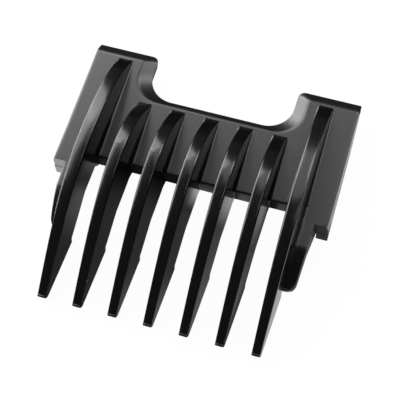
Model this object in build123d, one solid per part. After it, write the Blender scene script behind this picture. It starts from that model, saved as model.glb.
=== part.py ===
from build123d import *
import math
import os

# Slide-on guide comb for a hair clipper, in millimetres.
# X runs across the comb, -Y points to the tooth tips, +Z is the skin side.
# The origin is under the middle of the comb, on the plane that it lies on.
# Lengths called "_at" are measured from the rear edge of the plate towards the tips.

# Blade channel and side rails
blade_width = 46.0
blade_side_clearance = 0.4
rail_wall = 1.95
channel_depth = 2.3
rail_lead_in = 7.0
rail_lead_height = 1.6
rail_rear_gap = 1.2
lip_reach = 0.8
lip_height = 0.8
lip_front_gap = 4.0
lip_length = 12.0

# Back plate with its bevelled rear edge and U-shaped notch
comb_length = 50.2
plate_thickness = 3.2
plate_height = 23.35
corner_drop = 2.55
bevel_width = 2.0
bevel_depth = 1.6
side_flare = 0.35
notch_width = 27.3
notch_depth = 8.5
notch_radius = 4.8
shoulder_radius = 1.3
shoulder_front_radius = 0.6

# Teeth: a rib on the plate that runs on into a slim curved tooth
tooth_count = 7
edge_margin = 6.28
tooth_thickness = 2.1
tip_thickness = 1.35
tooth_edge_radius = 0.3
crest_height = 7.1
crest_at = 24.6
rib_land = 0.3
outer_rib_land = 1.0
ramp_angle = 45.0
ramp_reach = 7.0
ramp_round = 5.0
outer_ramp_angle = 40.0
outer_ramp_reach = 6.5
outer_ramp_round = 10.0
crest_round = 9.0
tip_slope = 33.0
tip_reach = 9.0
tip_height = 1.55
tip_cut = 1.5
tip_lift = 0.4
seat_length = 8.75
stop_at = 38.4
stop_height = 0.9
stop_lean = 0.3

# Side tongues that guard the ends of the blade
tongue_inset = 0.5
tongue_flat = 4.8
tongue_length = 11.1
tongue_taper = 0.6
tongue_round = 3.3
tongue_drop = 0.9
tongue_end_height = 0.9
tongue_end_lean = 0.6
tongue_end_radius = 1.4

# Heights and half widths that follow from the sizes above
plate_back = channel_depth
plate_front = plate_back + plate_thickness
channel_half = blade_width / 2 + blade_side_clearance
outer_half = channel_half + rail_wall
front_half = outer_half - side_flare
rear_y = comb_length / 2
outer_tooth_x = outer_half - edge_margin
tooth_pitch = 2 * outer_tooth_x / (tooth_count - 1)
tooth_half = tooth_thickness / 2
corner_at = plate_height + corner_drop
corner_step_x = outer_tooth_x + tooth_half
inner_rib_at = notch_depth + bevel_width + rib_land
outer_rib_at = bevel_width + outer_rib_land
tongue_x = channel_half - tongue_inset


def along(distance):
    """Y of a place that lies this far from the rear edge."""
    return rear_y - distance


def rounded(points, radii):
    """Closed outline through the points, with an arc at each corner that has a radius."""
    lines = []
    starts = []
    ends = []
    count = len(points)
    for index in range(count):
        here = Vector(*points[index])
        before = (Vector(*points[index - 1]) - here).normalized()
        after = (Vector(*points[(index + 1) % count]) - here).normalized()
        half_angle = math.radians(before.get_angle(after)) / 2
        setback = radii[index] / math.tan(half_angle) if radii[index] else 0
        starts.append(here + before * setback)
        ends.append(here + after * setback)
        if radii[index]:
            to_centre = (before + after).normalized()
            middle = here + to_centre * (radii[index] / math.sin(half_angle) - radii[index])
            lines.append(ThreePointArc(starts[index], middle, ends[index]))
    for index in range(count):
        lines.append(Line(ends[index], starts[(index + 1) % count]))
    return make_face(lines)


def plate_outline(half_width, inset, shoulder):
    """Plate seen from the skin side; inset draws the rear edge and the notch in by a bevel."""
    top = along(inset)
    notch_half = notch_width / 2 + inset
    notch_floor = along(notch_depth + inset)
    lower = along(corner_at)
    between = along(plate_height)
    right = [
        (notch_half, notch_floor),
        (notch_half, top),
        (half_width, top),
        (half_width, lower),
        (corner_step_x, lower),
        (corner_step_x, between),
    ]
    left = [(-x, y) for x, y in reversed(right)]
    right_radii = [notch_radius, shoulder, 0, 0, 0, 0]
    return rounded(right + left, right_radii + right_radii[::-1])


def back_plate():
    """Plate with a wide bevel round its rear edge and notch, and flared sides."""
    full = plate_outline(outer_half, 0, shoulder_radius)
    face = plate_outline(front_half, bevel_width, shoulder_front_radius)
    bevel_foot = plate_front - bevel_depth
    slab = extrude(Pos(0, 0, plate_back) * full, bevel_foot - plate_back)
    bevel = loft([Pos(0, 0, bevel_foot) * full, Pos(0, 0, plate_front) * face], ruled=True)
    return slab + bevel


def tooth_side(rib_at, angle, reach, rounding):
    """Side view of one tooth: ramp, crest and tip in front, blade seat and stop behind."""
    start = Vector(along(rib_at), plate_front)
    crest = Vector(along(crest_at), plate_front + crest_height)
    tip = Vector(along(comb_length), tip_height)
    ramp_end = start + Vector(-reach, 0).rotate(Axis.Z, -angle)
    tip_start = tip + Vector(tip_reach, 0).rotate(Axis.Z, tip_slope)
    ramp = Bezier(start, ramp_end, crest + Vector(rounding, 0), crest)
    front = Bezier(crest, crest - Vector(crest_round, 0), tip_start, tip)
    seat_end = along(plate_height + seat_length)
    back = Polyline(
        tip,
        (along(comb_length - tip_cut), tip_lift),
        (along(stop_at), 0),
        (along(stop_at - stop_lean), stop_height),
        (seat_end, plate_back),
        (along(plate_height), plate_back),
        (along(plate_height), plate_front),
        start,
    )
    return make_face([ramp, front, *back.edges()])


def flank_half(distance):
    """Half thickness of a tooth: constant on the plate, then a straight taper to the tip."""
    share = max(0, distance - corner_at) / (comb_length - corner_at)
    return tooth_half + share * (tip_thickness / 2 - tooth_half)


def tooth_plan():
    """Tooth seen from the skin side."""
    right = [(flank_half(place), along(place)) for place in (0, corner_at, comb_length)]
    left = [(-x, y) for x, y in reversed(right)]
    return make_face(Polyline(*right, *left, close=True))


def tooth(number):
    """One tooth with rounded front edges, at its place across the comb."""
    outer = number in (1, tooth_count)
    if outer:
        side = tooth_side(outer_rib_at, outer_ramp_angle, outer_ramp_reach, outer_ramp_round)
    else:
        side = tooth_side(inner_rib_at, ramp_angle, ramp_reach, ramp_round)
    slab = extrude(Plane.YZ * side, tooth_half, both=True)
    blank = slab & extrude(tooth_plan(), plate_front + crest_height)
    front_edges = blank.edges().filter_by(GeomType.LINE, reverse=True)
    solid = fillet(front_edges, min(tooth_edge_radius, tip_thickness / 4))
    return Pos((number - 1) * tooth_pitch - outer_tooth_x, 0, 0) * solid


def tongue(side):
    """Guard beside an outer tooth: flat with the plate, then bent down to a round end."""
    root = along(corner_at)
    crease = Vector(along(corner_at + tongue_flat), plate_front)
    end = Vector(along(corner_at + tongue_length), tongue_end_height)
    bend = Bezier(crease, crease - Vector(tongue_round, tongue_drop), end)
    rim = Polyline(
        end,
        (end.X + tongue_end_lean, 0),
        (crease.X, plate_back),
        (root, plate_back),
        (root, plate_front),
        crease,
    )
    profile = make_face([bend, *rim.edges()])
    body = extrude(Plane.YZ * profile, outer_half)
    plan = rounded(
        [
            (outer_tooth_x + tooth_half, root),
            (tongue_x, root),
            (tongue_x - tongue_taper, end.X),
            (outer_tooth_x + flank_half(corner_at + tongue_length), end.X),
        ],
        [0, 0, tongue_end_radius, 0],
    )
    solid = body & extrude(plan, plate_front)
    return solid if side == "right" else mirror(solid, Plane.YZ)


def rail(side):
    """Wall behind the plate edge that guides one side of the blade, with a ramped lead-in."""
    front = along(corner_at)
    rear = along(rail_rear_gap)
    profile = Polyline(
        (front, 0),
        (along(rail_rear_gap + rail_lead_in), 0),
        (rear, rail_lead_height),
        (rear, plate_back),
        (front, plate_back),
        close=True,
    )
    wall = extrude(Plane.YZ * make_face(profile), rail_wall)
    centre = channel_half if side == "right" else -outer_half
    return Pos(centre, 0, 0) * wall


def blade_lip(side):
    """Small ledge on the rail that keeps the blade's edge against the plate."""
    middle = along(corner_at - lip_front_gap - lip_length / 2)
    ledge = Box(lip_reach, lip_length, lip_height, align=(Align.MAX, Align.CENTER, Align.MIN))
    placed = Pos(channel_half, middle, 0) * ledge
    return placed if side == "right" else mirror(placed, Plane.YZ)


def build():
    """Every moulded feature by its node name."""
    nodes = {"back_plate": back_plate()}
    for number in range(1, tooth_count + 1):
        nodes[f"tooth_{number}"] = tooth(number)
    for side in ("left", "right"):
        nodes[f"{side}_tongue"] = tongue(side)
        nodes[f"{side}_rail"] = rail(side)
        nodes[f"{side}_blade_lip"] = blade_lip(side)
    return nodes


os.makedirs("parts", exist_ok=True)
for name, shape in build().items():
    export_step(shape, f"parts/{name}.step")
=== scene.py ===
import math

import bpy
import numpy as np
from bpy.props import FloatProperty, FloatVectorProperty, PointerProperty, StringProperty
from bpy.types import Operator, Panel, PropertyGroup
from mathutils import Matrix, Vector


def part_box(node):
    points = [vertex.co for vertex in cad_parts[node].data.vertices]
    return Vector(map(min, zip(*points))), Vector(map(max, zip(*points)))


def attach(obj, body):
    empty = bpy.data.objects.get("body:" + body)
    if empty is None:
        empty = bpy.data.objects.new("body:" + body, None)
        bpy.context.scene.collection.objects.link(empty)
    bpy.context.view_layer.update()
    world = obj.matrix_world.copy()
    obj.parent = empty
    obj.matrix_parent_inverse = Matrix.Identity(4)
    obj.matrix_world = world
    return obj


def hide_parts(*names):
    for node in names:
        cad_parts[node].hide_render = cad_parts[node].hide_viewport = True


bl_info = {
    "name": "Clipper guide comb",
    "version": (1, 0, 0),
    "blender": (4, 5, 0),
    "location": "3D View > Sidebar > Comb",
    "description": "Moulded surfaces, finishes, light and camera of a slide-on clipper guide comb",
    "category": "Object",
}

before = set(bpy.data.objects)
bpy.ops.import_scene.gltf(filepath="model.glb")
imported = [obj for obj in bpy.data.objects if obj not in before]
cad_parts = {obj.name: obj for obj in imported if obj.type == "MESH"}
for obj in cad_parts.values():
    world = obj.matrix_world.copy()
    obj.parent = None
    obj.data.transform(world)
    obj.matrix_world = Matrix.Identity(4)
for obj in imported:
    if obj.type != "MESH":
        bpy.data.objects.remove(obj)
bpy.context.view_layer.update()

MM = 0.001
BODY = "root"
SIDES = {"left": -1, "right": 1}

# The CAD model gives the places that everything else is measured from.
PLATE_LOW, PLATE_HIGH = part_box("back_plate")
TOOTH_NODES = sorted(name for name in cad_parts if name.startswith("tooth_"))
TOOTH_BOXES = [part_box(name) for name in TOOTH_NODES]
TOOTH_X = np.array([(low.x + high.x) / 2 for low, high in TOOTH_BOXES])
TIP_Y = TOOTH_BOXES[0][0].y
CREST_Z = TOOTH_BOXES[0][1].z

# The fillet at a rib's foot closes over this length at the plate's lower edge.
FILLET_END = 0.5 * MM
# Largest share of a rib's rise that its fillet takes, and of a section's height that a rolled edge takes.
FILLET_LIMIT = 0.6
EDGE_LIMIT = 0.4
# The plate's outline runs this far in under a tooth's flank.
FLANK_LAP = 0.03 * MM
# Distance between the plate's control rings beside a rolled edge, as a multiple of the edge's setback.
RING_GAP = 1.1
# A round nose stops just short of a quarter turn, so that its last section keeps some height.
NOSE_TURN = 0.47 * np.pi
# Points along the front edge of a tooth, in each of its two curves, and along the bend of a tongue.
FRONT_STEPS = 200
BEND_STEPS = 120
# Edges that turn by more than this stay crisp in the shading.
CRISP_TURN = math.radians(50)
# Radius of a dust speck as a share of the spacing of the cells, and the share of the cells that hold one.
SPECK_RADIUS = 0.045
SPECK_CHANCE = 0.2
# Refractive index of ABS.
ABS_INDEX = 1.54
# Heights of the stage's sheets, just under the table that the comb lies on.
PAPER_Z = -0.05 * MM
CARD_Z = -0.02 * MM
STRIP_Z = -0.01 * MM
# Share of the paper's look that is evenly lit; the rest is lit by the lamps and keeps the comb's shadow.
EVEN_SHARE = 0.97
# Distance of the lamps from the comb, in metres.
LAMP_DISTANCE = 0.6

# Each lamp's turn from +Y to the right, its height over the floor, its two spans and its roll, in degrees.
LAMPS = {
    "left_lamp": (-71, 32.6, (51.4, 65), 12),
    "low_left_lamp": (-70, 4.8, (64.4, 12.6), -16.6),
    "left_back_lamp": (-31.9, 29.3, (18, 45.6), 28),
    "back_lamp": (-1.2, 54.7, (24.4, 26.6), 30.8),
    "right_back_lamp": (37.5, 36.4, (16, 45), -44.8),
    "high_right_lamp": (58.1, 65.3, (10.6, 30.2), 13.5),
}

# Glowing cards that only reflections see, a painted reflection of the floor: dark behind the comb, painted
# shade beneath it that is darkest under the plate, and bright beside it. Front left and rear right corners in
# mm, then front and rear brightness.
PAINTED_REFLECTION_CARDS = {
    "flag_front": ((-60, -60), (19.5, -26), 0.0, 0.0),
    "flag_left": ((-60, -26), (-23, -9), 0.0, 0.0),
    # Painted shade of the comb on the floor under its teeth, going darker towards and under the plate.
    "left_card": ((-23, -26), (-2.5, -5), 0.09, 0.09),
    "left_graded_card": ((-23, -5), (-2.5, 2.9), 0.09, 0.01),
    "right_card": ((-2.5, -26), (19.5, -4), 0.09, 0.09),
    "right_graded_card": ((-2.5, -4), (19.5, 2.9), 0.09, 0.02),
    "corner_card": ((19.5, -60), (27, -12), 0.8, 0.8),
    "flag_corner": ((19.5, -12), (27, 2.9), 0.22, 0.22),
    # Painted shade under the plate.
    "shade_under_plate": ((-23, 2.9), (25.5, 26), 0.02, 0.02),
    "side_card": ((25.5, 2.9), (27, 26), 1.2, 1.2),
    "flag_back": ((-60, 26), (60, 90), 0.0, 0.0),
    "flag_far": ((-400, 90), (400, 1900), 0.0, 0.0),
    # Bright sheets that glow in reflections though they are no lamps: painted light on the floor beside the
    # comb.
    "left_panel": ((-60, -9), (-23.5, 26), 2.4, 2.4),
    "right_front_panel": ((27, -60), (60, 0), 2.0, 2.0),
    "right_panel": ((27, 0), (60, 26), 1.3, 1.4),
}
# Narrow strips that lie on the cards, each beside one tooth and given in the same way: painted light patches
# on the floor that the teeth's flanks reflect.
PAINTED_LIGHT_STRIPS = {
    "first_strip": ((-18.4, -0.8), (-13.8, 2.9), 0.1, 0.26),
    "first_mid_strip": ((-17.4, -4.5), (-14.2, -0.8), 0.3, 0.1),
    "first_low_strip": ((-17.4, -14), (-14.2, -4.5), 0.1, 0.3),
    "third_low_strip": ((-6.6, -26), (-3.4, -13), 0.26, 0.09),
    "fourth_low_strip": ((0.7, -26), (4, -13), 0.34, 0.09),
    "fifth_low_strip": ((7.5, -26), (11, -4), 0.28, 0.13),
    "sixth_low_strip": ((14.5, -26), (18.4, -6.5), 0.4, 0.13),
    "fourth_strip": ((0.5, -1.8), (3.4, 2.9), 0.06, 1.0),
    "fifth_strip": ((7.9, -4), (10.5, 2.9), 0.12, 0.75),
    "sixth_strip": ((15.2, -6.5), (17.4, 2.9), 0.12, 0.5),
}


def length(name, description, millimetres):
    """A size that a user may change, written in millimetres."""
    return FloatProperty(
        name=name, description=description, default=millimetres * MM, unit="LENGTH", precision=5
    )


def angle(name, description, degrees):
    """An angle that a user may change, written in degrees."""
    return FloatProperty(name=name, description=description, default=math.radians(degrees), subtype="ANGLE")


def number(name, description, value):
    """A plain number that a user may change."""
    return FloatProperty(name=name, description=description, default=value)


def colour(name, description, value):
    """An sRGB hex colour that a user may change."""
    return StringProperty(name=name, description=description, default=value)


class PlateSizes(PropertyGroup):
    """Back plate with a bevelled rear edge and a U-shaped notch."""

    height: length("Height", "Rear edge to the lower edge between the teeth", 23.5)
    bevel_width: length("Bevel width", "Bevel along the rear edge", 2.0)
    notch_bevel: length("Notch bevel", "Width of the bevel at the notch's floor", 1.4)
    notch_side_bevel: length("Notch side bevel", "Width of the bevel at the notch's sides", 2.2)
    bevel_depth: length("Bevel depth", "How far the bevels drop below the front face", 1.35)
    side_flare: length("Side flare", "How far each side leans outwards over the bevel's depth", 0.35)
    notch_width: length("Notch width", "Width of the notch at its lower outline", 26.9)
    notch_depth: length("Notch depth", "Depth of the notch at its lower outline", 8.65)
    notch_radius: length("Notch radius", "Round in the corners of the notch", 4.8)
    shoulder_radius: length("Shoulder radius", "Round on the shoulders at the lower outline", 1.3)
    shoulder_front_radius: length("Shoulder front radius", "Round on the shoulders at the front face", 0.4)
    corner_radius: length("Corner radius", "Round on the other corners of the outline", 0.25)
    front_round: length("Front round", "Soft edge between the front face and the bevel", 0.5)
    edge_round: length("Edge round", "Rolled edge at the back and the bevel's foot", 0.12)
    lower_round: length("Lower round", "Soft edge between the front face and the lower end", 0.3)
    rear_taper: length("Rear taper", "How far the lower outline draws in at the rear corners", 0.28)
    notch_undercut: length("Notch undercut", "How far the notch's wall leans back below the bevel", 0.25)
    step: length("Parting step", "How far the wall below the bevel stands back", 0.03)
    root_fillet: length("Root fillet", "Round where the lower edge meets a tooth's flank", 0.3)


class ToothSizes(PropertyGroup):
    """Rib on the plate that runs on into a slim curved tooth."""

    crest_thickness: length("Crest thickness", "Front edge across its flanks, at the crest", 2.14)
    outer_extra: length("Outer extra", "How much thicker an outer tooth is", 0.14)
    outer_lean: angle("Outer lean", "How far an outer tooth's front edge tips outwards", 1)
    tip_thickness: length("Tip thickness", "Front edge across its flanks, at the tip", 1.54)
    taper_power: number("Taper power", "Power of the distance with which a tooth slims to its tip", 1.3)
    draft: angle("Draft", "How far each flank leans in towards the front edge", 1.8)
    crown: angle("Crown", "Slope of the front edge's bulge beside its rolled edges", 4)
    crest_at: length("Crest place", "Distance of the crest from the rear edge", 24.6)
    land: length("Land", "Front face between the notch's bevel and an inner rib", 0.75)
    outer_land: length("Outer land", "Front face between the rear bevel and an outer rib", 0.75)
    ramp_angle: angle("Ramp angle", "Rise of an inner rib from the plate", 45)
    ramp_reach: length("Ramp reach", "How long an inner rib keeps its rise", 7.0)
    ramp_round: length("Ramp round", "How long an inner rib stays level before the crest", 5.0)
    outer_ramp_angle: angle("Outer ramp angle", "Rise of an outer rib from the plate", 46)
    outer_ramp_reach: length("Outer ramp reach", "How long an outer rib keeps its rise", 6.0)
    outer_ramp_round: length("Outer ramp round", "How long an outer rib stays level before the crest", 11.0)
    crest_round: length("Crest round", "How long a tooth stays level past the crest", 9.0)
    tip_slope: angle("Tip slope", "Slope of the front edge at the tip", 33)
    tip_reach: length("Tip reach", "How long the front edge keeps the tip's slope", 9.0)
    tip_height: length("Tip height", "Height of the tip's front edge above the table", 1.55)
    tip_cut: length("Tip cut", "Length of the slanted cut under the tip", 0.5)
    tip_lift: length("Tip lift", "Height of the back edge behind the cut", 0.4)
    seat_length: length("Seat length", "Flat blade seat on the back edge, from the plate", 8.2)
    seat_rise: length("Seat rise", "Height of the seat above the plate's back", 0.5)
    outer_seat_length: length("Outer seat length", "Blade seat of an outer tooth", 6.6)
    outer_seat_rise: length("Outer seat rise", "Height of an outer tooth's seat above the plate's back", 1.7)
    seat_blend: length("Seat blend", "Length over which the seat rises from the plate", 1.6)
    stop_at: length("Stop place", "Distance of the blade stop from the rear edge", 38.4)
    stop_height: length("Stop height", "Step of the blade stop", 0.9)
    stop_lean: length("Stop lean", "How far the stop's step leans", 0.3)
    front_round: length("Front round", "Rolled edges along the front", 0.33)
    back_round: length("Back round", "Rolled edges along the back", 0.22)
    base_fillet: length("Base fillet", "Height of the hollow round where a flank meets the plate", 0.8)
    fillet_share: number("Fillet share", "Width of that hollow round as a share of its height", 0.8)
    toe_share: number("Toe share", "Size of the fillet at a rib's toe, as a share of its full size", 0.3)
    toe_fillet: length("Toe fillet", "Soft start of a rib's ramp", 0.15)
    toe_radius: length("Toe radius", "Round corners of a rib's start, seen from the front", 0.4)
    tip_round: length("Tip round", "Round nose of a tip, seen from the side", 0.35)
    tip_radius: length("Tip radius", "Round corners of a tip, seen from the front", 0.25)


class TongueSizes(PropertyGroup):
    """Guard beside an outer tooth, flat at first and then bent down."""

    flat: length("Flat length", "Stretch that lies level with the plate", 4.8)
    round: length("Bend reach", "How far the bend keeps the crease's slope", 3.3)
    drop: length("Bend drop", "Fall of the bend over that reach", 0.9)
    end_height: length("End height", "Height of the end's front edge above the table", 0.9)
    end_lean: length("End lean", "How far the end leans back at its foot", 0.6)
    end_radius: length("End radius", "Round outer corner of the end", 1.8)
    taper: length("Taper", "How far the outer edge leans in over the length", 0.6)
    flare: length("Flare", "How far the outer side leans outwards over its depth", 0.35)
    rim_round: length("Rim round", "Rolled outer rim", 0.3)
    fade: length("Fade", "Length of the bend over which the fillet beside the tooth dies out", 3.0)
    reach: length("Reach", "How far the rolled end stands past the CAD model's sharp one", 0.45)
    nose: length("Nose", "Length of the rolled end, seen from the side", 0.4)


class RailSizes(PropertyGroup):
    """Rails and blade lips behind the plate."""

    lead_in: length("Lead-in", "Ramp at the rear of a rail", 7.0)
    lead_height: length("Lead height", "Height of the ramp's rear end above the table", 1.6)
    reach: length("Reach", "How far a rail's front end stands past the plate", 0.03)
    overlap: length("Overlap", "How far a rail runs up into the plate", 0.3)
    swell: length("Swell", "How far a rail stands into the blade's side clearance", 0.2)
    edge_round: length("Edge round", "Rolled edges of rails and lips", 0.12)


class Finishes(PropertyGroup):
    """Colours of the moulding and the studio."""

    satin_black: colour("Satin black", "Pigmented plastic of the plate", "#0B0B0C")
    satin_bloom: colour("Satin bloom", "Paler haze where the mould's texture is worn", "#131313")
    gloss_black: colour("Gloss black", "Pigmented plastic of the teeth", "#060606")
    gloss_haze: colour("Gloss haze", "Paler wipe marks on the polished teeth", "#0B0B0B")
    dust: colour("Dust", "Specks of lint on the plastic", "#8C8C8A")
    floor: colour("Floor", "Paper that the comb lies on", "#F4F4F2")
    surround: colour("Surround", "Dim room round the studio lamps", "#4A4A4A")


class Studio(PropertyGroup):
    """Camera and lamps."""

    camera_place: FloatVectorProperty(
        name="Camera place",
        description="Where the camera stands",
        default=(34.31 * MM, -85.32 * MM, 186.29 * MM),
        subtype="TRANSLATION",
        unit="LENGTH",
    )
    camera_aim: FloatVectorProperty(
        name="Camera aim",
        description="Point in the middle of the picture",
        default=(2.419 * MM, -1.480 * MM, 5.0 * MM),
        subtype="TRANSLATION",
        unit="LENGTH",
    )
    camera_roll: angle("Camera roll", "Turn of the camera about its own line of sight", -4.482)
    lens: FloatProperty(name="Lens", description="Focal length in millimetres", default=104.4, unit="CAMERA")
    left_lamp: number("Left lamp", "Brightness of the large lamp on the left", 4.9)
    low_left_lamp: number("Low left lamp", "Brightness of the strip lamp near the floor on the left", 7.46)
    left_back_lamp: number("Left back lamp", "Brightness of the tilted strip at the back on the left", 4.7)
    back_lamp: number("Back lamp", "Brightness of the lamp high behind the comb", 1.6)
    right_back_lamp: number("Right back lamp", "Brightness of the tilted strip at the back on the right", 6.2)
    high_right_lamp: number("High right lamp", "Brightness of the strip high on the right", 3.0)


def linear(hex_colour):
    """Linear RGBA of an sRGB hex colour."""
    srgb = np.array([int(hex_colour[place:place + 2], 16) for place in (1, 3, 5)]) / 255
    rgb = np.where(srgb <= 0.04045, srgb / 12.92, ((srgb + 0.055) / 1.055) ** 2.4)
    return (*rgb.tolist(), 1.0)


def unit(vectors):
    """Vectors scaled to length one along the last axis."""
    return vectors / np.linalg.norm(vectors, axis=-1, keepdims=True)


def bezier(corners, count):
    """Points on the Bezier curve of these control points, by repeated averaging of neighbours."""
    share = np.linspace(0, 1, count)[:, None]
    layers = [np.broadcast_to(np.array(corner, float), (count, 2)) for corner in corners]
    while len(layers) > 1:
        layers = [near + (far - near) * share for near, far in zip(layers, layers[1:])]
    return layers[0]


def rounded_loop(corners, arc_steps=12, run_steps=3):
    """Closed outline: an arc tangent to both runs at each corner (x, y, radius), then the straight run."""
    points = np.array(corners)[:, :2]
    radius = np.array(corners)[:, 2:]
    before = unit(np.roll(points, 1, axis=0) - points)
    after = unit(np.roll(points, -1, axis=0) - points)
    half = np.arccos(np.sum(before * after, axis=1, keepdims=True)) / 2
    setback = radius / np.tan(half)
    centre = points + unit(before + after) * radius / np.sin(half)
    start = points + before * setback
    end = points + after * setback
    turn = (np.pi - 2 * half)[:, None]
    share = np.linspace(0, 1, arc_steps)[None, :, None]
    from_start = np.sin((1 - share) * turn) * (start - centre)[:, None]
    from_end = np.sin(share * turn) * (end - centre)[:, None]
    arcs = centre[:, None] + (from_start + from_end) / np.sin(turn)
    along = np.linspace(0, 1, run_steps + 2)[None, 1:-1, None]
    runs = end[:, None] + (np.roll(start, -1, axis=0) - end)[:, None] * along
    return np.concatenate([arcs, runs], axis=1).reshape(-1, 2)


def rolled_rings(controls, rounds, steps=6):
    """Rings through control rings, with a parabola of the given setback at each ring between the ends.
    A setback is one length, or a column with one for each point of the ring."""
    share = np.linspace(0, 1, steps)[:, None, None]
    rings = [controls[:1]]
    for place, setback in enumerate(rounds, start=1):
        corner = controls[place]
        start = corner + unit(controls[place - 1] - corner) * setback
        end = corner + unit(controls[place + 1] - corner) * setback
        rings.append((1 - share) ** 2 * start + 2 * share * (1 - share) * corner + share ** 2 * end)
    return np.concatenate([*rings, controls[-1:]])


def quarter_inset(distance, radius):
    """How far a quarter-round corner stands back at a distance from its end: the radius less the height of
    the circle there."""
    inside = np.clip(radius - distance, 0, radius)
    return radius - np.sqrt(radius ** 2 - inside ** 2)


def smooth_step(share):
    """Rises from 0 to 1 with level ends, as the cubic 3 s squared less 2 s cubed."""
    clipped = np.clip(share, 0, 1)
    return clipped ** 2 * (3 - 2 * clipped)


def round_nose(y, end, reach, top, bottom):
    """Closes a wedge with half an ellipse: within reach of its end the height follows the ellipse."""
    share = np.clip((y - end) / reach, 0, 1)
    at_reach = np.interp(end + reach, y[::-1], (top - bottom)[::-1])
    height = np.where(share < 1, at_reach * np.sqrt(1 - (1 - share) ** 2), top - bottom)
    middle = (top + bottom) / 2
    return middle + height / 2, middle - height / 2


def signed_volume(points, faces):
    """Volume inside the faces by the divergence theorem, negative where they point inwards."""
    fans = [(face[0], near, far) for face in faces for near, far in zip(face[1:], face[2:])]
    a, b, c = points[np.array(fans)].transpose(1, 0, 2)
    return np.sum(a * np.cross(b, c)) / 6


def add_piece(name, rings, slot, finish, *nodes):
    """Skins rings of points with quads, caps both ends and stands the piece in for its CAD nodes."""
    count = rings.shape[1]
    index = np.arange(rings.shape[0] * count).reshape(-1, count)
    ahead = np.roll(index, -1, axis=1)
    quads = np.stack([index[:-1], ahead[:-1], ahead[1:], index[1:]], axis=-1).reshape(-1, 4)
    faces = [*quads.tolist(), index[0, ::-1].tolist(), index[-1].tolist()]
    points = rings.reshape(-1, 3)
    mesh = bpy.data.meshes.new(name)
    mesh.from_pydata(points.tolist(), [], faces)
    if signed_volume(points, faces) < 0:
        mesh.flip_normals()
    mesh.shade_smooth()
    mesh.set_sharp_from_angle(angle=CRISP_TURN)
    mesh.materials.append(finish)
    piece = bpy.data.objects.new(name, mesh)
    bpy.context.scene.collection.objects.link(piece)
    weighted = piece.modifiers.new("Face weighted normals", "WEIGHTED_NORMAL")
    weighted.keep_sharp = True
    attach(piece, BODY)
    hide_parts(*nodes)


def add_node(tree, kind, settings=None, **links):
    """Adds a node, sets its properties or sockets by name or number, and links sockets by name."""
    node = tree.nodes.new(kind)
    for key, value in (settings or {}).items():
        if isinstance(key, str) and hasattr(node, key):
            setattr(node, key, value)
        else:
            node.inputs[key].default_value = value
    for key, source in links.items():
        tree.links.new(source, node.inputs[key])
    return node


def bare_material(name):
    """A node material with no nodes."""
    material = bpy.data.materials.new(name)
    material.use_nodes = True
    material.node_tree.nodes.clear()
    return material, material.node_tree


def new_material(name):
    """A node material with its shader."""
    material, tree = bare_material(name)
    shader = add_node(tree, "ShaderNodeBsdfPrincipled")
    add_node(tree, "ShaderNodeOutputMaterial", Surface=shader.outputs["BSDF"])
    return material, tree, shader


def add_dust(tree, place, spacing):
    """Mask of small specks: one in five cells of the given spacing has a speck at its middle."""
    cells = add_node(tree, "ShaderNodeTexVoronoi", {"Scale": 1 / spacing}, Vector=place)
    near = add_node(tree, "ShaderNodeMath", {"operation": "LESS_THAN", 1: SPECK_RADIUS})
    tree.links.new(cells.outputs["Distance"], near.inputs[0])
    chance = add_node(tree, "ShaderNodeSeparateColor", Color=cells.outputs["Color"])
    chosen = add_node(tree, "ShaderNodeMath", {"operation": "GREATER_THAN", 1: 1 - SPECK_CHANCE})
    tree.links.new(chance.outputs["Red"], chosen.inputs[0])
    mask = add_node(tree, "ShaderNodeMath", {"operation": "MULTIPLY"})
    tree.links.new(near.outputs[0], mask.inputs[0])
    tree.links.new(chosen.outputs[0], mask.inputs[1])
    return mask.outputs[0]


def finish_abs(tree, shader, haze, relief, dust, tints, roughness, bump):
    """What both black plastics share. The haze mixes two tints and sets the roughness between two values.
    Dust lies on top in a third tint, and the relief becomes bump of a strength and depth."""
    clear, hazy, lint = (linear(tint) for tint in tints)
    smooth, rough = roughness
    strength, depth = bump
    tint = add_node(tree, "ShaderNodeMix", {"data_type": "RGBA", 6: clear, 7: hazy}, Factor=haze)
    dusty = add_node(tree, "ShaderNodeMix", {"data_type": "RGBA", 7: lint}, Factor=dust)
    tree.links.new(tint.outputs[2], dusty.inputs[6])
    spread = add_node(tree, "ShaderNodeMapRange", {"To Min": smooth, "To Max": rough}, Value=haze)
    raised = add_node(tree, "ShaderNodeBump", {"Strength": strength, "Distance": depth}, Height=relief)
    tree.links.new(dusty.outputs[2], shader.inputs["Base Color"])
    tree.links.new(spread.outputs[0], shader.inputs["Roughness"])
    tree.links.new(raised.outputs[0], shader.inputs["Normal"])
    shader.inputs["IOR"].default_value = ABS_INDEX


def satin_moulded_abs(finishes):
    """Black ABS from a spark-eroded mould: a fine grain that spreads highlights to a grey sheen."""
    material, tree, shader = new_material("satin_moulded_abs")
    place = add_node(tree, "ShaderNodeTexCoord").outputs["Object"]
    # The real grain is about 0.05 mm, too fine to show here, so it is drawn 0.3 mm wide.
    grain = add_node(tree, "ShaderNodeTexNoise", {"Scale": 1 / (0.3 * MM), "Detail": 2.0}, Vector=place)
    # Haze in patches of about 7 mm, where handling has worn the texture.
    haze = add_node(tree, "ShaderNodeTexNoise", {"Scale": 1 / (7 * MM), "Detail": 4.0}, Vector=place)
    finish_abs(
        tree,
        shader,
        haze.outputs["Fac"],
        grain.outputs["Fac"],
        add_dust(tree, place, 2.6 * MM),
        tints=(finishes.satin_black, finishes.satin_bloom, finishes.dust),
        roughness=(0.26, 0.34),
        bump=(0.2, 0.02 * MM),
    )
    return material


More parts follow.
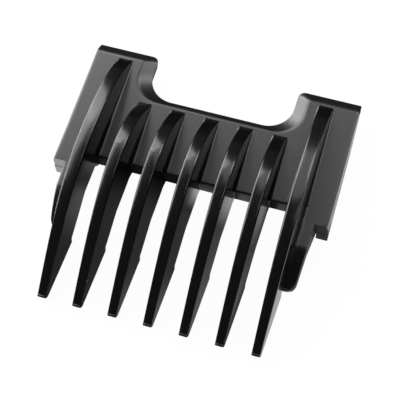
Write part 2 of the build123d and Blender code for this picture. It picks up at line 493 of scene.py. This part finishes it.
def gloss_moulded_abs(finishes):
    """Black ABS from a polished mould: clear reflections with faint wipe marks along the teeth."""
    material, tree, shader = new_material("gloss_moulded_abs")
    place = add_node(tree, "ShaderNodeTexCoord").outputs["Object"]
    # Wipe marks about 0.25 mm wide and 9 mm long, along the teeth.
    marks = add_node(
        tree,
        "ShaderNodeMapping",
        {"Scale": (1 / (0.25 * MM), 1 / (9 * MM), 1 / (0.25 * MM))},
        Vector=place,
    )
    wipe = add_node(tree, "ShaderNodeTexNoise", {"Scale": 1.0, "Detail": 3.0}, Vector=marks.outputs[0])
    # Flow ripple of about 1.6 mm that the moulding leaves under the polish.
    ripple = add_node(tree, "ShaderNodeTexNoise", {"Scale": 1 / (1.6 * MM), "Detail": 1.0}, Vector=place)
    finish_abs(
        tree,
        shader,
        wipe.outputs["Fac"],
        ripple.outputs["Fac"],
        add_dust(tree, place, 3.9 * MM),
        tints=(finishes.gloss_black, finishes.gloss_haze, finishes.dust),
        roughness=(0.12, 0.27),
        bump=(0.02, 0.05 * MM),
    )
    return material


def finish_of(maker, finishes):
    """The finish that a maker function gives, made once."""
    found = bpy.data.materials.get(maker.__name__)
    return found if found else maker(finishes)


def plate_corners(plate, teeth, half_width, insets, shoulder, taper=0, rim=0):
    """Outline corners (x, y, radius): the right half from the notch to the middle tooth, then its mirror
    image. Under each tooth the outline dips, so that a fillet runs from the lower edge into the flank.
    The insets draw in the rear edge, the notch's floor and its sides. The taper draws in the rear corners,
    and the rim draws in the whole outline."""
    rear, notch_floor, notch_side = insets
    top = PLATE_HIGH.y - rear - rim
    floor = PLATE_HIGH.y - plate.notch_depth - notch_floor - rim
    notch_half = plate.notch_width / 2 + notch_side + rim
    side = half_width - rim
    between = PLATE_HIGH.y - plate.height + rim
    corner = PLATE_LOW.y + rim
    dip = between - plate.root_fillet - 2 * plate.corner_radius
    flank = flank_half(teeth, PLATE_HIGH.z) - FLANK_LAP
    right = [
        (notch_half, floor, plate.notch_radius),
        (notch_half, top, shoulder),
        (side - taper, top, plate.corner_radius),
        (side, corner, plate.corner_radius),
        (TOOTH_X[-1], corner, plate.corner_radius),
        (TOOTH_X[-1], between, plate.corner_radius),
    ]
    for centre in TOOTH_X[-2:len(TOOTH_X) // 2:-1]:
        right += [
            (centre + flank, between, plate.root_fillet),
            (centre + flank, dip, plate.corner_radius),
            (centre - flank, dip, plate.corner_radius),
            (centre - flank, between, plate.root_fillet),
        ]
    right += [(flank, between, plate.root_fillet), (flank, dip, plate.corner_radius)]
    return right + [(-x, y, radius) for x, y, radius in reversed(right)]


def plate_rings(plate, teeth):
    """An edge profile carried round the outline: front face, bevel, side wall and back face, with rolled
    edges between them."""
    outer_half = PLATE_HIGH.x
    bevels = (plate.bevel_width, plate.notch_bevel, plate.notch_side_bevel)
    front_edge = (outer_half - plate.side_flare, bevels, plate.shoulder_front_radius)
    front = rounded_loop(plate_corners(plate, teeth, *front_edge))
    face = rounded_loop(plate_corners(plate, teeth, *front_edge, rim=RING_GAP * plate.front_round))
    lower_edge = (outer_half, (0, 0, 0), plate.shoulder_radius, plate.rear_taper)
    lower = rounded_loop(plate_corners(plate, teeth, *lower_edge))
    bevel_foot = PLATE_HIGH.z - plate.bevel_depth
    wall = lower + inward(lower) * plate.step
    past_floor = lower[:, 1:] - (PLATE_HIGH.y - plate.notch_depth) + plate.step
    in_notch = (past_floor > 0) & (np.abs(lower[:, :1]) < plate.notch_width / 2 + plate.shoulder_radius)
    back = wall + inward(lower) * np.where(in_notch, plate.notch_undercut, 0)
    controls = [
        (face, PLATE_HIGH.z),
        (front, PLATE_HIGH.z),
        (lower, bevel_foot),
        (wall, bevel_foot - plate.step),
        (back, PLATE_LOW.z),
        (back + inward(lower) * plate.edge_round * RING_GAP, PLATE_LOW.z),
    ]
    rings = np.array([np.column_stack([loop, np.full(len(loop), z)]) for loop, z in controls])
    at_lower_end = front[:, 1:] < PLATE_HIGH.y - plate.height + plate.root_fillet
    front_round = np.where(at_lower_end, plate.lower_round, plate.front_round)
    at_tongue = front[:, 1:] < PLATE_LOW.y + plate.edge_round
    front_round = np.where(at_tongue, plate.step, front_round)
    return rolled_rings(rings, [front_round, plate.step / 2, plate.step / 2, plate.edge_round])


def inward(loop):
    """Unit vectors to the inside of a loop that runs clockwise: the tangent turned to the right."""
    tangent = unit(np.roll(loop, -1, axis=0) - np.roll(loop, 1, axis=0))
    return np.column_stack([tangent[:, 1], -tangent[:, 0]])


def tooth_front(teeth, plate, outer):
    """Front edge from rib to tip as y and height: one Bezier up the ramp, one from the crest to the tip.
    Gives also the place where the ramp starts and its rise."""
    rear = PLATE_HIGH.y
    if outer:
        start = rear - (plate.bevel_width + teeth.outer_land)
        rise, reach, level = teeth.outer_ramp_angle, teeth.outer_ramp_reach, teeth.outer_ramp_round
    else:
        start = rear - (plate.notch_depth + plate.notch_bevel + teeth.land)
        rise, reach, level = teeth.ramp_angle, teeth.ramp_reach, teeth.ramp_round
    foot = (start, PLATE_HIGH.z)
    foot_end = (start - reach * math.cos(rise), PLATE_HIGH.z + reach * math.sin(rise))
    crest = (rear - teeth.crest_at, CREST_Z)
    tip = (TIP_Y, teeth.tip_height)
    slope = teeth.tip_slope
    tip_start = (tip[0] + teeth.tip_reach * math.cos(slope), tip[1] + teeth.tip_reach * math.sin(slope))
    ramp = bezier([foot, foot_end, (crest[0] + level, crest[1]), crest], FRONT_STEPS)
    fall = bezier([crest, (crest[0] - teeth.crest_round, crest[1]), tip_start, tip], FRONT_STEPS)
    return np.concatenate([ramp, fall[1:]]), start, rise


def crest_width(teeth, outer):
    """Thickness of a tooth at its crest, with the extra of an outer one."""
    return teeth.crest_thickness + (teeth.outer_extra if outer else 0)


def flank_half(teeth, z, outer=False):
    """Half thickness of a rib at a height: half of the crest's, and wider below it by the tangent of the
    draft."""
    return crest_width(teeth, outer) / 2 + (CREST_Z - z) * math.tan(teeth.draft)


def front_half(teeth, y, top, outer):
    """Half width of the front edge: the rib's flanks at its height, and past the plate a taper to the tip."""
    share = np.clip((PLATE_LOW.y - y) / (PLATE_LOW.y - TIP_Y), 0, 1) ** teeth.taper_power
    crest = crest_width(teeth, outer)
    tapered = (crest + share * (teeth.tip_thickness - crest)) / 2
    return np.where(y > PLATE_LOW.y, flank_half(teeth, top, outer), tapered)


def tooth_stations(teeth, toe, lower, seat_start, seat_end, stop):
    """Places of the sections along Y, those on the rib and those past it. A power of an even share crowds
    them at the toe, and the sine of an even turn crowds them at the tip's nose."""
    toe_power = 1.6
    fade_start = lower + FILLET_END
    rib = toe - (toe - fade_start) * np.linspace(0, 1, 56) ** toe_power
    fade = np.linspace(fade_start, lower, 7)
    nose = TIP_Y + teeth.tip_round * (1 - np.sin(np.linspace(0, NOSE_TURN, 9)))
    past = [
        np.linspace(lower, seat_start, 9),
        np.linspace(seat_start, seat_end, 14)[1:],
        np.linspace(seat_end, stop + teeth.stop_lean, 12)[1:],
        np.linspace(stop, nose[0], 30),
        nose[1:],
    ]
    return np.concatenate([rib, fade[1:]]), np.concatenate(past)


def tooth_rings(teeth, plate, centre, outer):
    """Upright sections along a tooth, from the rib's toe to the tip. Each has rolled front edges and straight
    flanks; on the plate it ends in a hollow fillet, and past the plate in rolled back edges."""
    front, start, rise = tooth_front(teeth, plate, outer)
    lower = PLATE_HIGH.y - plate.height
    toe = start + teeth.toe_fillet
    stop = PLATE_HIGH.y - teeth.stop_at
    seat_end = lower - (teeth.outer_seat_length if outer else teeth.seat_length)
    seat_z = PLATE_LOW.z + (teeth.outer_seat_rise if outer else teeth.seat_rise)
    seat_start = lower - teeth.seat_blend
    rib_y, past_y = tooth_stations(teeth, toe, lower, seat_start, seat_end, stop)
    y = np.concatenate([rib_y, past_y])
    on_rib = np.arange(len(y)) < len(rib_y)
    top = np.interp(y, front[::-1, 0], front[::-1, 1])
    # A parabola leads from the plate's face into the ramp.
    past_start = start - y
    toe_rise = (past_start + teeth.toe_fillet) ** 2 * math.tan(rise) / (4 * teeth.toe_fillet)
    top = np.where(past_start < teeth.toe_fillet, PLATE_HIGH.z + toe_rise, top)
    back_edge = np.array(
        [
            (TIP_Y, teeth.tip_height),
            (TIP_Y + teeth.tip_cut, teeth.tip_lift),
            (stop, 0),
            (stop + teeth.stop_lean, teeth.stop_height),
            (seat_end, seat_z),
        ]
    )
    # A rib's foot lies this far under the plate's face.
    sink = 0.05 * MM
    under = np.interp(y, back_edge[:, 0], back_edge[:, 1])
    under -= (seat_z - PLATE_LOW.z) * smooth_step((y - seat_start) / teeth.seat_blend)
    bottom = np.where(on_rib, PLATE_HIGH.z - sink, under)
    nosed_top, nosed_bottom = round_nose(y, TIP_Y, teeth.tip_round, top, bottom)
    top = np.where(on_rib, top, nosed_top)
    bottom = np.where(on_rib, bottom, nosed_bottom)
    height = top - bottom
    narrow = front_half(teeth, y, top, outer) - quarter_inset(y - TIP_Y, teeth.tip_radius)
    narrow -= quarter_inset(toe - y, teeth.toe_radius)
    wide = narrow + height * math.tan(teeth.draft)
    rib_rise = np.maximum(top - PLATE_HIGH.z, 0)
    growth = teeth.toe_share + (1 - teeth.toe_share) * np.clip((toe - y) / (toe - lower), 0, 1)
    fillet_rise = np.minimum(teeth.base_fillet * growth, FILLET_LIMIT * rib_rise)
    end_fade = smooth_step((y - lower) / FILLET_END)
    foot_x, foot_z = hollow_fillet(teeth.fillet_share * fillet_rise * end_fade, fillet_rise, teeth)
    foot_x = np.concatenate([foot_x[:, :1], foot_x], axis=1)
    foot_z = np.concatenate([0 * foot_z[:, :1], foot_z + sink], axis=1)
    quarter = np.linspace(0, np.pi / 2, foot_x.shape[1])
    roll = np.minimum(teeth.back_round, EDGE_LIMIT * height)[:, None]
    base_x = wide[:, None] + np.where(on_rib[:, None], foot_x, roll * (np.sin(quarter) - 1))
    base_z = bottom[:, None] + np.where(on_rib[:, None], foot_z, roll * (1 - np.cos(quarter)))
    edge = np.minimum(teeth.front_round, EDGE_LIMIT * height)
    # The bulge goes down with a section's height where that is under 1 mm, but never to nothing.
    least_crown = 0.05
    crown = teeth.crown * np.clip(height / MM, least_crown, 1)
    lean = math.tan(teeth.outer_lean) * np.sign(centre) * outer
    return tooth_sections(centre, y, base_x, base_z, narrow, top, edge, crown, lean)


def hollow_fillet(spread, rise, teeth):
    """Quarter ellipses from the plate up to a drafted flank: how far each point stands out from the flank's
    foot, and its height above the plate."""
    turn = np.linspace(np.pi / 2, 0, 10)
    height = rise[:, None] * (1 - np.sin(turn))
    return spread[:, None] * (1 - np.cos(turn)) - height * math.tan(teeth.draft), height


def tooth_sections(centre, y, base_x, base_z, narrow, top, edge, crown, lean):
    """Rings of the sections: the given base, a straight flank, a rolled edge, then a flat arc over the front
    that meets the rolled edge at the crown's slope. The front tips down towards +X by the lean, or towards -X
    where that is negative, and its higher edge stays where it is."""
    share = np.linspace(0, 1, 8)[None]
    narrow, top, edge, crown = (values[:, None] for values in (narrow, top, edge, crown))
    bulge = (narrow - edge) / np.sin(crown) + edge
    edge_low = top - bulge + (bulge - edge) * np.cos(crown)
    turn = (np.pi / 2 - crown) * share
    edge_x = narrow - edge + edge * np.cos(turn)
    edge_z = edge_low + edge * np.sin(turn)
    inner = share[:, 1:-1]
    flank_x = base_x[:, -1:] + (narrow - base_x[:, -1:]) * inner
    flank_z = base_z[:, -1:] + (edge_low - base_z[:, -1:]) * inner
    face_x = bulge * np.sin(crown * (1 - inner))
    face_z = top - bulge + bulge * np.cos(crown * (1 - inner))
    right_x = np.concatenate([base_x, flank_x, edge_x, face_x], axis=1)
    right_z = np.concatenate([base_z, flank_z, edge_z, face_z], axis=1)
    across = np.concatenate([right_x, -right_x[:, ::-1]], axis=1)
    z = np.concatenate([right_z, right_z[:, ::-1]], axis=1)
    up = np.clip((z - base_z[:, -1:]) / (edge_low - base_z[:, -1:]), 0, 1)
    z = z - up * (lean * across + abs(lean) * narrow)
    x = centre + across
    return np.stack([x, np.broadcast_to(y[:, None], x.shape), z], axis=-1)


def tongue_rings(tongue, teeth, plate, side):
    """Upright sections along a tongue: a fillet up the tooth's flank, a level or bent top and a rolled rim.
    Beside the plate only a strip with the fillet is left of the section."""
    low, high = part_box(f"{side}_tongue")
    lower = PLATE_HIGH.y - plate.height
    root = high.y
    crease = root - tongue.flat
    end = low.y - tongue.reach
    outer = max(abs(low.x), abs(high.x))
    # How far the tongue runs in over the plate, lies under its face, and reaches into the tooth's flank.
    overlap = 0.3 * MM
    sink = 0.01 * MM
    flank_lap = 0.006 * MM
    # Depth of the strip, its margin beside the fillet and its rolled edge.
    strip_depth = 0.2 * MM
    strip_margin = 0.05 * MM
    strip_rim = 0.02 * MM
    # Largest share of the height that the rim takes.
    rim_limit = 0.45
    # The strip starts this far behind the plate's lower edge, where the rib's own fillet is whole.
    strip_start = 2 * FILLET_END
    # Share of its width that the fillet keeps on the bend, and share that it loses at the strip's start.
    least_spread = 0.05
    strip_loss = 0.08
    strip_y = np.linspace(lower + strip_start, root + overlap, 8)
    flat_y = np.linspace(root + overlap, crease, 14)
    bend_y = np.linspace(crease, end + tongue.nose, 26)[1:]
    nose_y = end + tongue.nose * (1 - np.sin(np.linspace(0, NOSE_TURN, 10)))
    y = np.concatenate([strip_y, flat_y, bend_y, nose_y[1:]])
    on_strip = np.arange(len(y)) < len(strip_y)
    level = PLATE_HIGH.z - sink
    bend_end = (crease - tongue.round, level - tongue.drop)
    bend = bezier([(crease, level), bend_end, (end, tongue.end_height)], BEND_STEPS)
    top = np.interp(y, bend[::-1, 0], bend[::-1, 1])
    under = np.array([(end, tongue.end_height), (end + tongue.end_lean, 0), (crease, PLATE_LOW.z)])
    bottom = np.interp(y, under[:, 0], under[:, 1])
    top, bottom = round_nose(y, end, tongue.nose, top, bottom)
    bottom = np.where(on_strip, level - strip_depth, bottom)
    tooth_x = abs(TOOTH_X[-1])
    front, _, _ = tooth_front(teeth, plate, True)
    crown_z = np.interp(y, front[::-1, 0], front[::-1, 1])
    front_x = tooth_x + front_half(teeth, y, crown_z, True)
    flank = front_x + (crown_z - top) * math.tan(teeth.draft) - flank_lap
    # A quarter of the taper lies on the level stretch and the rest on the bend.
    level_share = np.clip((root - y) / (root - crease), 0, 1)
    bend_share = np.clip((crease - y) / (crease - end), 0, 1)
    edge = outer - tongue.taper * (level_share + 3 * bend_share) / 4
    edge = edge - quarter_inset(y - end, tongue.end_radius)
    fillet = teeth.fillet_share * teeth.base_fillet
    edge = np.where(on_strip, flank + fillet + strip_margin, edge)
    rim = np.where(on_strip, strip_rim, np.minimum(tongue.rim_round, rim_limit * (top - bottom)))
    lean = np.where(on_strip, 0, tongue.flare * (1 - level_share))
    kept = smooth_step((y - crease) / tongue.fade + 1)
    lost = strip_loss * smooth_step((y - lower) / strip_start)
    spread = fillet * (least_spread + (1 - least_spread) * kept)
    spread = spread * np.where(on_strip, 1 - lost, 1)
    fillet_x, fillet_z = hollow_fillet(spread, teeth.base_fillet + 0 * y, teeth)
    turn = np.linspace(0, np.pi / 2, 7)[None]
    share = np.linspace(0, 1, 6)[None, 1:-1]
    column = [values[:, None] for values in (edge, rim, bottom, top, flank, spread, lean)]
    edge, rim, bottom, top, flank, spread, lean = column
    zero = 0 * edge
    foot_x = edge + lean - rim + rim * np.sin(turn)
    foot_z = bottom + rim * (1 - np.cos(turn))
    rim_x = edge - rim + rim * np.cos(turn)
    rim_z = top - rim + rim * np.sin(turn)
    face_x = edge - rim + (flank + spread - edge + rim) * share
    face_z = top + 0 * face_x
    x = np.concatenate([zero + tooth_x, foot_x, rim_x, face_x, flank + fillet_x, zero + tooth_x], axis=1)
    z = np.concatenate([bottom, foot_z, rim_z, face_z, top + fillet_z, top + teeth.base_fillet], axis=1)
    return np.stack([SIDES[side] * x, np.broadcast_to(y[:, None], x.shape), z], axis=-1)


def bar_rings(low, high, edge, foot, shift=0):
    """A bar along Y whose edges and ends are rolled in quarter rounds. The function foot gives the height of
    its underside at each y, and its rear end stands sideways by the shift."""
    # The quarter round at an end starts a little way in, so that the first section keeps some width.
    half_turns = np.linspace(0.05, 0.5, 6)
    reach = edge * (1 - np.cos(half_turns * np.pi))
    middle = np.linspace(low.y + edge, high.y - edge, 24)[1:-1]
    y = np.concatenate([low.y + reach, middle, high.y - reach[::-1]])
    inset = quarter_inset(np.minimum(y - low.y, high.y - y), edge)
    turn = np.linspace(0, np.pi / 2, 6)[None]
    aside = shift * (y - low.y) / (high.y - low.y)
    left, right = (low.x + aside + inset)[:, None], (high.x + aside - inset)[:, None]
    bottom, top = (foot(y) + inset)[:, None], (high.z - inset)[:, None]
    cosine, sine = edge * np.cos(turn), edge * np.sin(turn)
    x = np.concatenate(
        [right - edge + sine, right - edge + cosine, left + edge - sine, left + edge - cosine], axis=1
    )
    z = np.concatenate(
        [bottom + edge - cosine, top - edge + sine, top - edge + cosine, bottom + edge - sine], axis=1
    )
    return np.stack([x, np.broadcast_to(y[:, None], x.shape), z], axis=-1)


class COMB_OT_plate(Operator):
    """Back plate with its bevels, notch and rolled edges"""

    bl_idname = "comb.plate"
    bl_label = "Back plate"

    def execute(self, context):
        scene = context.scene
        satin = finish_of(satin_moulded_abs, scene.comb_finishes)
        rings = plate_rings(scene.comb_plate, scene.comb_teeth)
        add_piece("moulded_plate", rings, "satin_black", satin, "back_plate")
        return {"FINISHED"}


class COMB_OT_teeth(Operator):
    """Seven teeth, each a rib that runs on into a curved tooth"""

    bl_idname = "comb.teeth"
    bl_label = "Teeth"

    def execute(self, context):
        scene = context.scene
        gloss = finish_of(gloss_moulded_abs, scene.comb_finishes)
        for node, centre in zip(TOOTH_NODES, TOOTH_X):
            outer = node in (TOOTH_NODES[0], TOOTH_NODES[-1])
            rings = tooth_rings(scene.comb_teeth, scene.comb_plate, centre, outer)
            add_piece(f"moulded_{node}", rings, "gloss_black", gloss, node)
        return {"FINISHED"}


class COMB_OT_tongues(Operator):
    """Guard tongues beside the outer teeth"""

    bl_idname = "comb.tongues"
    bl_label = "Tongues"

    def execute(self, context):
        scene = context.scene
        satin = finish_of(satin_moulded_abs, scene.comb_finishes)
        for side in SIDES:
            rings = tongue_rings(scene.comb_tongues, scene.comb_teeth, scene.comb_plate, side)
            add_piece(f"moulded_{side}_tongue", rings, "satin_black", satin, f"{side}_tongue")
        return {"FINISHED"}


class COMB_OT_rails(Operator):
    """Blade rails with their lead-in ramps, and the lips that hold the blade"""

    bl_idname = "comb.rails"
    bl_label = "Rails and lips"

    def execute(self, context):
        scene = context.scene
        sizes = scene.comb_rails
        satin = finish_of(satin_moulded_abs, scene.comb_finishes)
        # A rail stands this far out of the plate's wall, so that the two don't lie in one plane.
        proud = 0.005 * MM
        for side in SIDES:
            low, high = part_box(f"{side}_rail")
            low.y -= sizes.reach
            high.z += sizes.overlap
            outer = SIDES[side] * (PLATE_HIGH.x - scene.comb_plate.step + proud)
            inner = SIDES[side] * (PLATE_HIGH.x - (high.x - low.x) - sizes.swell)
            low.x, high.x = sorted((inner, outer))
            ramp = ([high.y - sizes.lead_in, high.y], [low.z, sizes.lead_height])
            taper = -SIDES[side] * scene.comb_plate.rear_taper
            rings = bar_rings(low, high, sizes.edge_round, lambda y: np.interp(y, *ramp), taper)
            add_piece(f"moulded_{side}_rail", rings, "satin_black", satin, f"{side}_rail")
            low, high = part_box(f"{side}_blade_lip")
            rings = bar_rings(low, high, sizes.edge_round, lambda y: low.z + 0 * y)
            add_piece(f"moulded_{side}_blade_lip", rings, "satin_black", satin, f"{side}_blade_lip")
        return {"FINISHED"}


def add_stage_plane(name, low, high, height, material):
    """A flat rectangle of the stage."""
    corners = [
        (low[0], low[1], height),
        (high[0], low[1], height),
        (high[0], high[1], height),
        (low[0], high[1], height),
    ]
    mesh = bpy.data.meshes.new(name)
    mesh.from_pydata(corners, [], [(0, 1, 2, 3)])
    mesh.materials.append(material)
    plane = bpy.data.objects.new(name, mesh)
    bpy.context.scene.collection.objects.link(plane)
    return plane


def white_paper(finishes):
    """Matt white paper. The camera and mirror-like reflections see it evenly lit, less the comb's shadow."""
    material, tree, shader = new_material("white_paper")
    shader.inputs["Base Color"].default_value = linear(finishes.floor)
    shader.inputs["Roughness"].default_value = 0.9
    path = add_node(tree, "ShaderNodeLightPath")
    seen = path.outputs["Is Camera Ray"]
    for kind in ("Is Glossy Ray", "Is Transmission Ray"):
        either = add_node(tree, "ShaderNodeMath", {"operation": "MAXIMUM"})
        tree.links.new(seen, either.inputs[0])
        tree.links.new(path.outputs[kind], either.inputs[1])
        seen = either.outputs[0]
    share = add_node(tree, "ShaderNodeMath", {"operation": "MULTIPLY", 1: EVEN_SHARE})
    tree.links.new(seen, share.inputs[0])
    white = add_node(tree, "ShaderNodeEmission", {"Strength": 1.0})
    mixed = add_node(tree, "ShaderNodeMixShader")
    tree.links.new(share.outputs[0], mixed.inputs[0])
    tree.links.new(shader.outputs[0], mixed.inputs[1])
    tree.links.new(white.outputs[0], mixed.inputs[2])
    tree.links.new(mixed.outputs[0], tree.nodes["Material Output"].inputs["Surface"])
    return material


def reflected_card(name, ends, front, rear):
    """Glowing card, a painted reflection. Between its ends along Y the brightness goes in a smooth step from
    front to rear.
    """
    material, tree = bare_material(name)
    glow = add_node(tree, "ShaderNodeEmission", {"Strength": front})
    add_node(tree, "ShaderNodeOutputMaterial", Surface=glow.outputs[0])
    if front != rear:
        place = add_node(tree, "ShaderNodeTexCoord").outputs["Object"]
        along = add_node(tree, "ShaderNodeSeparateXYZ", Vector=place)
        steps = {"From Min": ends[0], "From Max": ends[1], "To Min": front, "To Max": rear}
        level = add_node(
            tree,
            "ShaderNodeMapRange",
            {"interpolation_type": "SMOOTHSTEP", **steps},
            Value=along.outputs["Y"],
        )
        tree.links.new(level.outputs[0], glow.inputs["Strength"])
    return material


def add_cards(cards, height):
    """Glowing cards at one height: painted reflections that glossy rays see, and that neither the camera nor
    matt surfaces do.
    """
    for name, (low, high, front, rear) in cards.items():
        low, high = (tuple(value * MM for value in corner) for corner in (low, high))
        finish = reflected_card(name, (low[1], high[1]), front, rear)
        card = add_stage_plane(name, low, high, height, finish)
        card.visible_camera = False
        card.visible_diffuse = False
        card.visible_transmission = False
        card.visible_shadow = False


def add_lamp(name, turn, lift, spans, roll, brightness):
    """Soft rectangular lamp, at a turn from +Y to the right and a height above the floor. It spans two angles
    and its top leans to the right by the roll, all in degrees. Its power gives the stated brightness all over
    it: brightness x pi x area."""
    width, height = (2 * LAMP_DISTANCE * math.tan(math.radians(span) / 2) for span in spans)
    lamp = bpy.data.lights.new(name, "AREA")
    lamp.shape = "RECTANGLE"
    lamp.size = width
    lamp.size_y = height
    lamp.energy = brightness * math.pi * width * height
    holder = bpy.data.objects.new(name, lamp)
    turn, lift = math.radians(turn), math.radians(lift)
    level = math.cos(lift)
    outwards = Vector((level * math.sin(turn), level * math.cos(turn), math.sin(lift)))
    facing = outwards.to_track_quat("Z", "Y").to_matrix().to_4x4()
    lean = Matrix.Rotation(math.radians(roll), 4, "Z")
    holder.matrix_world = Matrix.Translation(outwards * LAMP_DISTANCE) @ facing @ lean
    holder.visible_camera = False
    bpy.context.scene.collection.objects.link(holder)


def add_room(finishes):
    """Dim room: the same light from all sides."""
    world = bpy.data.worlds.new("dim_room")
    world.use_nodes = True
    background = world.node_tree.nodes["Background"]
    background.inputs["Color"].default_value = linear(finishes.surround)
    background.inputs["Strength"].default_value = 1.0
    bpy.context.scene.world = world


def add_camera(studio):
    """Camera at its place, turned to its aim and then rolled about its line of sight."""
    camera = bpy.data.cameras.new("photo_camera")
    camera.sensor_width = 36
    camera.lens = studio.lens
    camera.clip_start = 0.01
    camera.clip_end = 10
    holder = bpy.data.objects.new("photo_camera", camera)
    place = Vector(studio.camera_place)
    sight = Vector(studio.camera_aim) - place
    turn = sight.to_track_quat("-Z", "Y").to_matrix().to_4x4()
    roll = Matrix.Rotation(studio.camera_roll, 4, "Z")
    holder.matrix_world = Matrix.Translation(place) @ turn @ roll
    bpy.context.scene.collection.objects.link(holder)
    bpy.context.scene.camera = holder


class COMB_OT_stage(Operator):
    """Paper floor, cards that paint reflections, studio lamps, dim room and the camera"""

    bl_idname = "comb.stage"
    bl_label = "Stage"

    def execute(self, context):
        scene = context.scene
        studio = scene.comb_studio
        scene.view_settings.view_transform = "Standard"
        add_stage_plane("paper_floor", (-2, -2), (2, 2), PAPER_Z, white_paper(scene.comb_finishes))
        add_cards(PAINTED_REFLECTION_CARDS, CARD_Z)
        add_cards(PAINTED_LIGHT_STRIPS, STRIP_Z)
        for name, placing in LAMPS.items():
            add_lamp(name, *placing, getattr(studio, name))
        add_room(scene.comb_finishes)
        add_camera(studio)
        return {"FINISHED"}


class COMB_PT_panel(Panel):
    """Comb pieces and their sizes"""

    bl_idname = "COMB_PT_panel"
    bl_label = "Clipper guide comb"
    bl_space_type = "VIEW_3D"
    bl_region_type = "UI"
    bl_category = "Comb"

    def draw(self, context):
        for operator in OPERATORS:
            self.layout.operator(operator.bl_idname)
        for name in GROUPS:
            group = getattr(context.scene, name)
            box = self.layout.box()
            for key in group.__annotations__:
                box.prop(group, key)


GROUPS = {
    "comb_plate": PlateSizes,
    "comb_teeth": ToothSizes,
    "comb_tongues": TongueSizes,
    "comb_rails": RailSizes,
    "comb_finishes": Finishes,
    "comb_studio": Studio,
}
OPERATORS = [COMB_OT_plate, COMB_OT_teeth, COMB_OT_tongues, COMB_OT_rails, COMB_OT_stage]


def register():
    """Registers the size groups, the operators and the panel."""
    for name, group in GROUPS.items():
        bpy.utils.register_class(group)
        setattr(bpy.types.Scene, name, PointerProperty(type=group))
    for operator in OPERATORS:
        bpy.utils.register_class(operator)
    bpy.utils.register_class(COMB_PT_panel)


def unregister():
    """Takes back what register added."""
    bpy.utils.unregister_class(COMB_PT_panel)
    for operator in reversed(OPERATORS):
        bpy.utils.unregister_class(operator)
    for name, group in reversed(list(GROUPS.items())):
        delattr(bpy.types.Scene, name)
        bpy.utils.unregister_class(group)


def main():
    register()
    bpy.ops.comb.plate()
    bpy.ops.comb.teeth()
    bpy.ops.comb.tongues()
    bpy.ops.comb.rails()
    bpy.ops.comb.stage()


if __name__ == "__main__":
    main()
